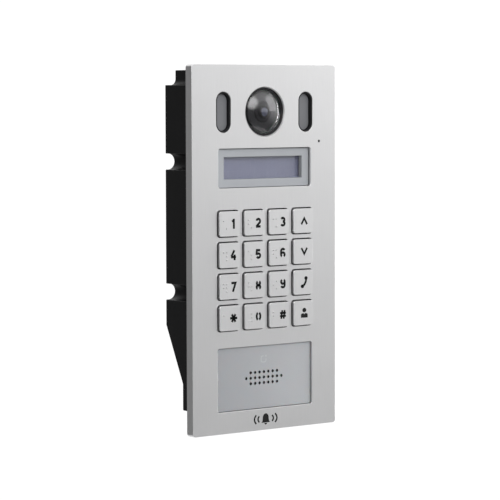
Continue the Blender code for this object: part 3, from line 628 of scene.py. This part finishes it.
def clear_plastic():
    material, nodes, links, shader, place = blank_material("clear_window")
    shader.inputs["Transmission Weight"].default_value = 1.0
    shader.inputs["IOR"].default_value = 1.49
    haze = soft_noise(nodes, links, place, 120.0)
    links.new(shaded(nodes, links, haze, (0.90, 0.91, 0.94), (0.94, 0.95, 0.97)), shader.inputs["Base Color"])
    shader.inputs["Roughness"].default_value = 0.04
    return material


CELL_PITCH, LINE_PITCH, CELL_GAP = 3.55 * MM, 5.75 * MM, 0.3 * MM
CELL_COLOUR, CELL_GAP_COLOUR = (0.278, 0.287, 0.394, 1), (0.294, 0.303, 0.412, 1)


def display_glass():
    """Unlit violet-grey glass, in which the two rows of character cells show as slightly darker blocks."""
    material, nodes, links, shader, place = blank_material("display_glass")
    shader.inputs["Roughness"].default_value = 0.22
    cells = nodes.new("ShaderNodeTexBrick")
    cells.offset = 0.0
    cells.inputs["Scale"].default_value = 1.0
    cells.inputs["Brick Width"].default_value = CELL_PITCH
    cells.inputs["Row Height"].default_value = LINE_PITCH
    cells.inputs["Mortar Size"].default_value = CELL_GAP
    cells.inputs["Color1"].default_value = CELL_COLOUR
    cells.inputs["Color2"].default_value = CELL_COLOUR
    cells.inputs["Mortar"].default_value = CELL_GAP_COLOUR
    turn = nodes.new("ShaderNodeMapping")
    turn.inputs["Rotation"].default_value = (radians(-90), 0, 0)
    turn.inputs["Location"].default_value = (0, display_middle, 0)
    links.new(place, turn.inputs["Vector"])
    links.new(turn.outputs["Vector"], cells.inputs["Vector"])
    links.new(cells.outputs["Color"], shader.inputs["Base Color"])
    return material


glass_low, glass_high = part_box("lcd_glass")
display_middle = (glass_low.z + glass_high.z) / 2
finished(
    "display_pane",
    round_edges(merged_copy("display_window"), 0.08 * MM, segments=2),
    clear_plastic(),
    replaces=["display_window"],
)
repaint("lcd_glass", display_glass())


def plated_steel(name, colour, roughness):
    """Thin sheet or turned steel with a plated face: bright, with faint rolling marks."""
    material, nodes, links, shader, place = blank_material(name)
    shader.inputs["Metallic"].default_value = 1.0
    mark = soft_noise(nodes, links, place, 700.0, detail=6.0)
    dark = [c * 0.85 for c in colour]
    links.new(shaded(nodes, links, mark, dark, colour), shader.inputs["Base Color"])
    vary_gloss(nodes, links, shader, mark, roughness - 0.08, roughness + 0.08)
    return material


dark_steel = plated_steel("blackened_steel", (0.09, 0.09, 0.095), 0.4)
repaint("lcd_bezel", dark_steel)
repaint("lcd_board", green_board)


# Keys. Each cap is a solid piece of satin metal with a soft-edged face, held behind the plate by its flange,
# which is coloured black as painted shade so that the gap round the cap reads dark. Its sign is cut in and
# filled with black paint, and the number keys have raised braille dots.
KEY_SIDE, KEY_FLANGE, FLANGE_T, FLANGE_CORNER = 16.2 * MM, 1.4 * MM, 1.2 * MM, 2.8 * MM
KEY_LIP, FLANGE_EDGE, CALL_X = 0.15 * MM, 0.2 * MM, 0.7 * MM
SIGN_W, SIGN_H, SIGN_LINE = 4.6 * MM, 6.5 * MM, 1.6 * MM
SIGN_X, SIGN_DEPTH, SIGN_PROUD, THIN_LINE = 3.0 * MM, 0.3 * MM, 0.03 * MM, 1.4 * MM
DOT_R, DOT_TIP_R, DOT_RISE, DOT_PITCH = 0.9 * MM, 0.5 * MM, 0.55 * MM, 2.5 * MM
DOT_X, DOT_Z = -4.7 * MM, 2.0 * MM
BRAILLE = {
    "1": (1, 6),
    "2": (1, 2, 6),
    "3": (1, 4, 6),
    "4": (1, 4, 5, 6),
    "5": (1, 5, 6),
    "6": (1, 2, 4, 6),
    "7": (1, 2, 4, 5, 6),
    "8": (1, 2, 5, 6),
    "9": (2, 4, 6),
    "0": (3, 4, 5, 6),
    "star": (1,),
    "hash": (1, 2),
}
half_w, half_h = (SIGN_W - SIGN_LINE) / 2, (SIGN_H - SIGN_LINE) / 2
UPPER, LOWER = half_h / 2, -half_h / 2


def key_signs():
    """The lines of each sign, as paths about its middle. Closed loops are broken, as in a stencil."""
    w, h, tip = half_w, half_h, SIGN_H / 2
    arrow = [(-2.4 * MM, -2.4 * MM), (0, 1.6 * MM), (2.4 * MM, -2.4 * MM)]
    six_left = [*arc(0, h - w, w, w, 25, 180), *arc(0, LOWER, w, UPPER, 180, 242)]
    six_right = arc(0, LOWER, w, UPPER + 0.1 * MM, 160, -62)
    two_neck = [*arc(0, h - w, w, w, 165, -25), (-w, -h + 0.1 * MM)]
    five_top = [(w, h), (-w + 0.25 * MM, h), (-w, 0.15 * MM)]
    five_bowl = arc(0, LOWER + 0.15 * MM, w, UPPER + 0.15 * MM, 125, -150)
    return {
        "1": [[(-1.0 * MM, 1.35 * MM), (0.3 * MM, 2.45 * MM)], [(0.4 * MM, tip), (0.4 * MM, -tip)]],
        "2": [two_neck, [(-w - 0.45 * MM, -h), (w + 0.4 * MM, -h)]],
        "3": [arc(0, UPPER, w - 0.15 * MM, UPPER, 155, -90), arc(0, LOWER, w, UPPER, 90, -155)],
        "4": [
            [(0.75 * MM, tip), (-1.65 * MM, -0.75 * MM)],
            [(-2.05 * MM, -1.15 * MM), (2.05 * MM, -1.15 * MM)],
            [(0.9 * MM, 0.45 * MM), (0.9 * MM, -tip)],
        ],
        "5": [[*five_top, *five_bowl]],
        "6": [six_left, six_right],
        "7": [[(-w - 0.3 * MM, h), (w + 0.1 * MM, h), (-0.55 * MM, -tip)]],
        "8": [
            [*arc(0, UPPER, w - 0.15 * MM, UPPER, 118, 270), *arc(0, LOWER, w, UPPER, 90, -62)],
            [*arc(0, UPPER, w - 0.15 * MM, UPPER, 62, -90), *arc(0, LOWER, w, UPPER, 90, 242)],
        ],
        "9": [[(-x, -z) for x, z in six_left], [(-x, -z) for x, z in six_right]],
        "0": [arc(0, 0, w, h, 113, 247), arc(0, 0, w, h, 67, -67)],
        "star": [
            [(-2.9 * MM * cos(radians(turn)), -2.9 * MM * sin(radians(turn))),
             (2.9 * MM * cos(radians(turn)), 2.9 * MM * sin(radians(turn)))]
            for turn in (0, 60, 120)
        ],
        "hash": [
            [(-1.45 * MM, -2.85 * MM), (-0.55 * MM, 2.85 * MM)],
            [(0.55 * MM, -2.85 * MM), (1.45 * MM, 2.85 * MM)],
            [(-2.5 * MM, 1.0 * MM), (2.5 * MM, 1.0 * MM)],
            [(-2.5 * MM, -1.0 * MM), (2.5 * MM, -1.0 * MM)],
        ],
        "up": [arrow],
        "down": [[(x, -z) for x, z in arrow]],
        "call": [arc(-3.1 * MM, 2.7 * MM, 4.7 * MM, 5.7 * MM, 0, -72)],
        "concierge": [],
    }


def key_cap(name, x, z, face_y, seat_y, back_y):
    """A cap in its place: its flange, its raised body with a rounded rim, and its braille dots."""
    shape = bmesh.new()
    bmesh.ops.create_cube(shape, size=1.0)
    side = KEY_SIDE + 2 * KEY_FLANGE
    bmesh.ops.scale(shape, vec=(side, back_y - seat_y, side), verts=shape.verts)
    bmesh.ops.translate(shape, vec=(x, (back_y + seat_y) / 2, z), verts=shape.verts)
    upright = [edge for edge in shape.edges if abs(edge.verts[0].co.y - edge.verts[1].co.y) > 0.1 * MM]
    bmesh.ops.bevel(
        shape, geom=upright, offset=FLANGE_CORNER, segments=6, profile=0.5, affect="EDGES", material=-1
    )
    front = min(shape.faces, key=lambda face: face.calc_center_median().y)
    bmesh.ops.inset_region(shape, faces=[front], thickness=KEY_FLANGE, depth=0.0)
    face = bmesh.ops.extrude_discrete_faces(shape, faces=[front])["faces"][0]
    bmesh.ops.translate(shape, vec=(0, face_y - seat_y, 0), verts=face.verts)
    bmesh.ops.bevel(
        shape, geom=list(face.edges), offset=KEY_LIP, segments=4, profile=0.5, affect="EDGES", material=-1
    )
    for dot in BRAILLE.get(name, ()):
        column, row = divmod(dot - 1, 3)
        place = Vector((x + DOT_X + column * DOT_PITCH, face_y, z + DOT_Z - row * DOT_PITCH))
        bmesh.ops.create_cone(
            shape,
            cap_ends=True,
            segments=16,
            radius1=DOT_R,
            radius2=DOT_TIP_R,
            depth=2 * DOT_RISE,
            matrix=Matrix.Translation(place) @ Matrix.Rotation(radians(90), 4, "X"),
        )
    # Painted shade: the flange's faces take the second material, black, so that the gap round the cap reads
    # dark.
    for side_face in shape.faces:
        if side_face.calc_center_median().y > seat_y - FLANGE_EDGE:
            side_face.material_index = 1
    return shape


def spot(sign, x, z, radius_x, radius_z):
    """A filled ellipse added to a flat sign."""
    bmesh.ops.create_circle(
        sign,
        cap_ends=True,
        segments=24,
        radius=1.0,
        matrix=Matrix.Translation((x, 0, z))
        @ Matrix.Rotation(radians(90), 4, "X")
        @ Matrix.Diagonal((radius_x, radius_z, 1.0, 1.0)),
    )


def person_sign():
    """The concierge's sign: a head over a pair of shoulders with an open collar."""
    sign = bmesh.new()
    spot(sign, 0, 1.85 * MM, 1.65 * MM, 1.5 * MM)
    right = [(0, -3.2), (2.85, -3.2), (2.9, -1.2), (2.4, -0.45), (0.75, -0.1), (0, -0.95)]
    outline = right + [(-x, z) for x, z in reversed(right[1:-1])]
    sign.faces.new([sign.verts.new((x * MM, 0, z * MM)) for x, z in outline])
    return sign


key_metal = brushed_metal("key_satin_metal", (0.68, 0.68, 0.685), 0.38, 0.025, across=2200.0)
flange_painted_shade = moulded_plastic("key_flange_painted_shade", (0.02, 0.02, 0.02), 0.6, shine=0.2)
signs = key_signs()
for node in sorted(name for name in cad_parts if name.startswith("key_")):
    key_name = node.removeprefix("key_")
    key_low, key_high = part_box(node)
    key_x, key_z = (key_low.x + key_high.x) / 2, (key_low.z + key_high.z) / 2
    cap = key_cap(key_name, key_x, key_z, key_low.y, key_high.y - FLANGE_T, key_high.y)
    made_cap = finished(
        f"cap_{key_name}", cap, key_metal, body=f"button_{key_name}", replaces=[node]
    )
    made_cap.data.materials.append(flange_painted_shade)
    if signs[key_name]:
        sign = bmesh.new()
        for path in signs[key_name]:
            stroke(sign, path, SIGN_LINE if key_name not in ("up", "down", "hash") else THIN_LINE)
        if key_name == "call":
            spot(sign, 1.45 * MM, 2.75 * MM, 1.35 * MM, 1.2 * MM)
            spot(sign, -1.6 * MM, -2.7 * MM, 1.4 * MM, 1.25 * MM)
    else:
        sign = person_sign()
    sign_x = key_x + (SIGN_X if key_name in BRAILLE else CALL_X)
    finished(
        f"sign_{key_name}",
        raised(sign, key_low.y - SIGN_PROUD, key_low.y + SIGN_DEPTH, x=sign_x, z=key_z),
        ink_and_painted_shade,
        body=f"button_{key_name}",
    )

# Behind the caps a silicone mat carries a rubber dome for each key, on a board with the contacts.
repaint("keypad_mat", moulded_plastic("mat_silicone", (0.42, 0.42, 0.42), 0.6, spread=0.05))
repaint("keypad_board", green_board)


# Card reader and loudspeaker. A satin blue-grey cover fills the lower recess, set back from the plate's face.
# It has three short rows of sound holes, their walls painted black as shade so that they read dark, and a
# faint ring with a dot that shows where to hold a card.
# Painted light: the cover is coloured darker at its left and paler at its right, as though lit from the
# right.
COVER_SHADED_LEFT, COVER_LIT_RIGHT = (0.252, 0.258, 0.271), (0.328, 0.336, 0.349)
cover_low, cover_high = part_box("reader_cover")


def satin_cover():
    """Milky plastic over a dark space: a soft blue-grey with painted light that makes it paler to the right,
    and a satin face.
    """
    material, nodes, links, shader, place = blank_material("reader_cover_satin")
    shader.inputs["Subsurface Weight"].default_value = 0.15
    shader.inputs["Subsurface Scale"].default_value = 1.0 * MM
    # Painted light: the colour runs from shaded at the left edge to lit at the right, mixed with a faint
    # mottle.
    split = nodes.new("ShaderNodeSeparateXYZ")
    links.new(place, split.inputs["Vector"])
    across = nodes.new("ShaderNodeMapRange")
    across.inputs["From Min"].default_value = cover_low.x
    across.inputs["From Max"].default_value = cover_high.x
    links.new(split.outputs["X"], across.inputs["Value"])
    painted_light_and_mottle = nodes.new("ShaderNodeMix")
    painted_light_and_mottle.inputs["Factor"].default_value = 0.25
    links.new(across.outputs["Result"], painted_light_and_mottle.inputs["A"])
    links.new(soft_noise(nodes, links, place, 25.0, detail=2.0), painted_light_and_mottle.inputs["B"])
    shade = shaded(nodes, links, painted_light_and_mottle.outputs["Result"], COVER_SHADED_LEFT, COVER_LIT_RIGHT, 0.1, 0.7)
    links.new(shade, shader.inputs["Base Color"])
    fine = soft_noise(nodes, links, place, 5000.0)
    vary_gloss(nodes, links, shader, fine, 0.24, 0.34)
    add_grain(nodes, links, shader, fine, 0.2, 0.005 * MM)
    return material


cover_face = cover_low.y
HOLES_HALF_W, HOLES_HALF_H = 17 * MM, 6 * MM
cover = finished(
    "reader_cover_satin",
    round_edges(merged_copy("reader_cover"), 0.12 * MM, segments=2),
    satin_cover(),
    replaces=["reader_cover"],
)
# Painted shade: the walls of the sound holes take the black ink, so that the holes read dark.
cover.data.materials.append(ink_and_painted_shade)
holes_z = (cover_low.z + cover_high.z) / 2
for face in cover.data.polygons:
    off = face.center - Vector((0, 0, holes_z))
    if abs(face.normal.y) < 0.5 and abs(off.x) < HOLES_HALF_W and abs(off.z) < HOLES_HALF_H:
        face.material_index = 1
RING_X, RING_Z, RING_SIDE, RING_LINE = -0.3 * MM, -73.2 * MM, 4.0 * MM, 0.55 * MM
RING_CORNER, RING_GAP = 1.0 * MM, 1.9 * MM
reader_sign = bmesh.new()
half = RING_SIDE / 2
ring_path = [(half - RING_GAP, half)]
for sign_x, sign_z, start in ((-1, 1, 90), (-1, -1, 180), (1, -1, 270)):
    middle = (half - RING_CORNER) * sign_x, (half - RING_CORNER) * sign_z
    ring_path += arc(*middle, RING_CORNER, RING_CORNER, start, start + 90, steps=6)
ring_path += [(half, half - RING_GAP)]
stroke(reader_sign, ring_path, RING_LINE)
bmesh.ops.create_circle(
    reader_sign,
    cap_ends=True,
    segments=16,
    radius=0.55 * MM,
    matrix=Matrix.Translation((half, 0, half)) @ Matrix.Rotation(radians(90), 4, "X"),
)
finished(
    "reader_sign",
    raised(reader_sign, cover_face - 0.02 * MM, cover_face + 0.1 * MM, x=RING_X, z=RING_Z),
    moulded_plastic("reader_sign_pale", (0.37, 0.38, 0.395), 0.4, spread=0.03),
)
rubber = moulded_plastic("black_rubber", (0.025, 0.025, 0.026), 0.75, grain=0.4 * MM, depth=0.02 * MM)
bright_steel = plated_steel("zinc_plated_steel", (0.56, 0.56, 0.57), 0.28)
repaint("reader_board", green_board)
repaint("speaker_gasket", rubber)
repaint("speaker_basket", dark_steel)
cone_film = moulded_plastic("cone_film", (0.035, 0.035, 0.036), 0.55, grain=1.0 * MM, depth=0.05 * MM)
repaint("speaker_cone", cone_film)
repaint("speaker_magnet", bright_steel)
repaint("microphone_boot", rubber)
# Painted shade: a near-black felt plug sits almost flush in the microphone's hole, so that the hole reads
# dark. The microphone behind takes the same felt.
felt_and_painted_shade = moulded_plastic("microphone_felt_and_painted_shade", (0.004, 0.004, 0.004), 0.95, shine=0.05)
repaint("microphone", felt_and_painted_shade)
PLUG_R, PLUG_DOME, PLUG_DEEP, PLUG_LONG = 0.88 * MM, 0.05 * MM, 0.1 * MM, 3.0 * MM
plug_front = PLATE_FRONT + PLUG_DEEP
plug_outline = [
    (0.0, plug_front),
    (PLUG_R * 0.7, plug_front + PLUG_DOME / 2),
    (PLUG_R, plug_front + PLUG_DOME),
    (PLUG_R, plug_front + PLUG_LONG),
    (0.0, plug_front + PLUG_LONG),
]
finished("microphone_shade_plug", turned(plug_outline, MIC_X, MIC_Z, steps=32, closed=False), felt_and_painted_shade)


# Rear housing. One black moulding with a fine grained face, deep behind the camera and keypad, with a ramp
# down to a shallow foot. Grooves down its sides and corners give a screwdriver room to reach each screw.
housing_black = moulded_plastic(
    "housing_black", (0.0045, 0.0045, 0.0048), 0.5, grain=0.5 * MM, depth=0.03 * MM, shine=0.22
)
finished(
    "housing_moulding",
    round_edges(merged_copy("rear_housing"), 0.5 * MM),
    housing_black,
    replaces=["rear_housing"],
)
repaint("housing_gasket", rubber)
repaint("main_board", green_board)
repaint("tamper_switch", black_trim)


# Screws. Eight zinc-plated pan-head screws with a cross recess hold the housing to the plate from behind.
SHANK_R, HEAD_R, HEAD_T = 1.2 * MM, 2.6 * MM, 1.6 * MM
CROSS_W, CROSS_REACH, CROSS_DEEP = 0.7 * MM, 1.5 * MM, 0.9 * MM


def block(x, y, z, width, depth, height):
    """A plain box about a place, ready to be cut, rounded or joined."""
    shape = bmesh.new()
    bmesh.ops.create_cube(shape, size=1.0)
    bmesh.ops.scale(shape, vec=(width, depth, height), verts=shape.verts)
    bmesh.ops.translate(shape, vec=(x, y, z), verts=shape.verts)
    return shape


def joined(*shapes):
    """Several shapes as one, each whole in itself."""
    whole = bmesh.new()
    for shape in shapes:
        mesh = bpy.data.meshes.new("joined")
        shape.to_mesh(mesh)
        shape.free()
        whole.from_mesh(mesh)
        bpy.data.meshes.remove(mesh)
    return whole


def cut_out(shape, *tools):
    """A shape with each tool's shape cut out of it."""
    made = []
    for item in (shape, *tools):
        mesh = bpy.data.meshes.new("cutting")
        item.to_mesh(mesh)
        item.free()
        body = bpy.data.objects.new("cutting", mesh)
        bpy.context.scene.collection.objects.link(body)
        made.append(body)
    for tool in made[1:]:
        cut = made[0].modifiers.new("cut", "BOOLEAN")
        cut.operation, cut.solver, cut.object = "DIFFERENCE", "EXACT", tool
    graph = bpy.context.evaluated_depsgraph_get()
    mesh = bpy.data.meshes.new_from_object(made[0].evaluated_get(graph))
    result = bmesh.new()
    result.from_mesh(mesh)
    for body in made:
        bpy.data.objects.remove(body)
    bmesh.ops.remove_doubles(result, verts=result.verts, dist=0.001 * MM)
    return result


for node in sorted(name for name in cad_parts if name.startswith("housing_screw_")):
    low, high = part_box(node)
    x, z = (low.x + high.x) / 2, (low.z + high.z) / 2
    head_y = high.y - HEAD_T
    outline = [
        (0.0, low.y),
        (SHANK_R * 0.8, low.y),
        (SHANK_R, low.y + 0.3 * MM),
        (SHANK_R, head_y),
        (HEAD_R, head_y),
        (HEAD_R, high.y - 0.9 * MM),
        (HEAD_R * 0.86, high.y - 0.3 * MM),
        (HEAD_R * 0.6, high.y),
        (0.0, high.y),
    ]
    screw = turned(outline, x, z, steps=40, closed=False)
    arms = [
        block(x, high.y, z, 2 * CROSS_REACH, 2 * CROSS_DEEP, CROSS_W),
        block(x, high.y, z, CROSS_W, 2 * CROSS_DEEP, 2 * CROSS_REACH),
    ]
    cross_name = node.replace("housing_", "cross_")
    finished(cross_name, cut_out(screw, *arms), bright_steel, replaces=[node])


# Network socket and terminal block. Both stand on the main board and come through the housing's back. The
# socket is a folded steel can round a black insert with eight gilt springs; the block is green, with a
# slotted screw over each wire entry.
CAVITY_W, CAVITY_H, INSERT_T, INSERT_LOOSE = 11.8 * MM, 8.2 * MM, 0.5 * MM, 0.04 * MM
INSERT_Y, INSERT_LONG, MOUTH_Y, MOUTH_LONG = 22.9 * MM, 10.6 * MM, 24.0 * MM, 11.0 * MM
SPRINGS, SPRING_PITCH, SPRING_W, SPRING_T = 8, 1.02 * MM, 0.45 * MM, 0.4 * MM
SPRING_Y, SPRING_Z, SPRING_LONG = 22.2 * MM, 2.9 * MM, 7.6 * MM
socket_low, socket_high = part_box("network_socket")
socket_x, socket_z = (socket_low.x + socket_high.x) / 2, (socket_low.z + socket_high.z) / 2
finished(
    "socket_can",
    round_edges(merged_copy("network_socket"), 0.25 * MM),
    bright_steel,
    replaces=["network_socket"],
)
insert = cut_out(
    block(socket_x, INSERT_Y, socket_z, CAVITY_W - INSERT_LOOSE, INSERT_LONG, CAVITY_H - INSERT_LOOSE),
    block(socket_x, MOUTH_Y, socket_z, CAVITY_W - 2 * INSERT_T, MOUTH_LONG, CAVITY_H - 2 * INSERT_T),
)
finished("socket_insert", insert, black_trim)
spring_places = [socket_x + (number - (SPRINGS - 1) / 2) * SPRING_PITCH for number in range(SPRINGS)]
springs = [
    block(spring_x, SPRING_Y, socket_z + SPRING_Z, SPRING_W, SPRING_LONG, SPRING_T)
    for spring_x in spring_places
]
finished("socket_springs", joined(*springs), plated_steel("gilt", (0.80, 0.58, 0.22), 0.25))

POLES, POLE_PITCH, ENTRY_Y, ENTRY_W, ENTRY_H = 8, 5.0 * MM, 21.6 * MM, 2.5 * MM, 2.9 * MM
CLAMP_R, CLAMP_Z, CLAMP_FOOT, CLAMP_EDGE, CLAMP_TOP = 1.25 * MM, 3.1 * MM, 0.6 * MM, 0.1 * MM, 0.02 * MM
SLOT_DEEP, SLOT_W, ENTRY_T = 0.6 * MM, 0.4 * MM, 0.8 * MM
block_low, block_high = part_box("terminal_block")
block_x, block_z = (block_low.x + block_high.x) / 2, (block_low.z + block_high.z) / 2
terminal_green = moulded_plastic("terminal_green", (0.025, 0.24, 0.10), 0.42, spread=0.06)
finished(
    "terminal_body",
    round_edges(merged_copy("terminal_block"), 0.2 * MM, segments=2),
    terminal_green,
    replaces=["terminal_block"],
)
clamp_outline = [
    (0.0, block_high.y - CLAMP_FOOT),
    (CLAMP_R, block_high.y - CLAMP_FOOT),
    (CLAMP_R, block_high.y - CLAMP_EDGE),
    (CLAMP_R * 0.85, block_high.y - CLAMP_TOP),
    (0.0, block_high.y - CLAMP_TOP),
]
clamps = []
for pole in range(POLES):
    pole_x = block_x + (pole - (POLES - 1) / 2) * POLE_PITCH
    head = turned(clamp_outline, pole_x, block_z + CLAMP_Z, steps=28, closed=False)
    slot_cut = block(pole_x, block_high.y, block_z + CLAMP_Z, 2 * CLAMP_R, SLOT_DEEP, SLOT_W)
    clamps.append(cut_out(head, slot_cut))
    clamps.append(block(pole_x, ENTRY_Y, block_z, ENTRY_W, ENTRY_T, ENTRY_H))
finished("terminal_screws", joined(*clamps), bright_steel)


# Tamper button. A red moulded plunger that the wall box presses in. It slides in the housing's back and
# works the switch behind it.
FOOT_R, FOOT_T, STEM_R, STEM_TIP_R = 3.4 * MM, 1.5 * MM, 2.0 * MM, 1.5 * MM
button_low, button_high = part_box("tamper_button")
button_outline = [
    (0.0, button_low.y),
    (FOOT_R, button_low.y),
    (FOOT_R, button_low.y + FOOT_T),
    (STEM_R, button_low.y + FOOT_T),
    (STEM_R, button_high.y - 0.5 * MM),
    (STEM_R - 0.15 * MM, button_high.y - 0.2 * MM),
    (STEM_TIP_R, button_high.y),
    (0.0, button_high.y),
]
button_x, button_z = (button_low.x + button_high.x) / 2, (button_low.z + button_high.z) / 2
plunger = turned(button_outline, button_x, button_z, steps=48, closed=False)
finished(
    "tamper_plunger",
    round_edges(plunger, 0.12 * MM, segments=2, sharpest=60),
    moulded_plastic("button_red", (0.48, 0.045, 0.035), 0.36, spread=0.06),
    body="tamper_plunger",
    replaces=["tamper_button"],
)
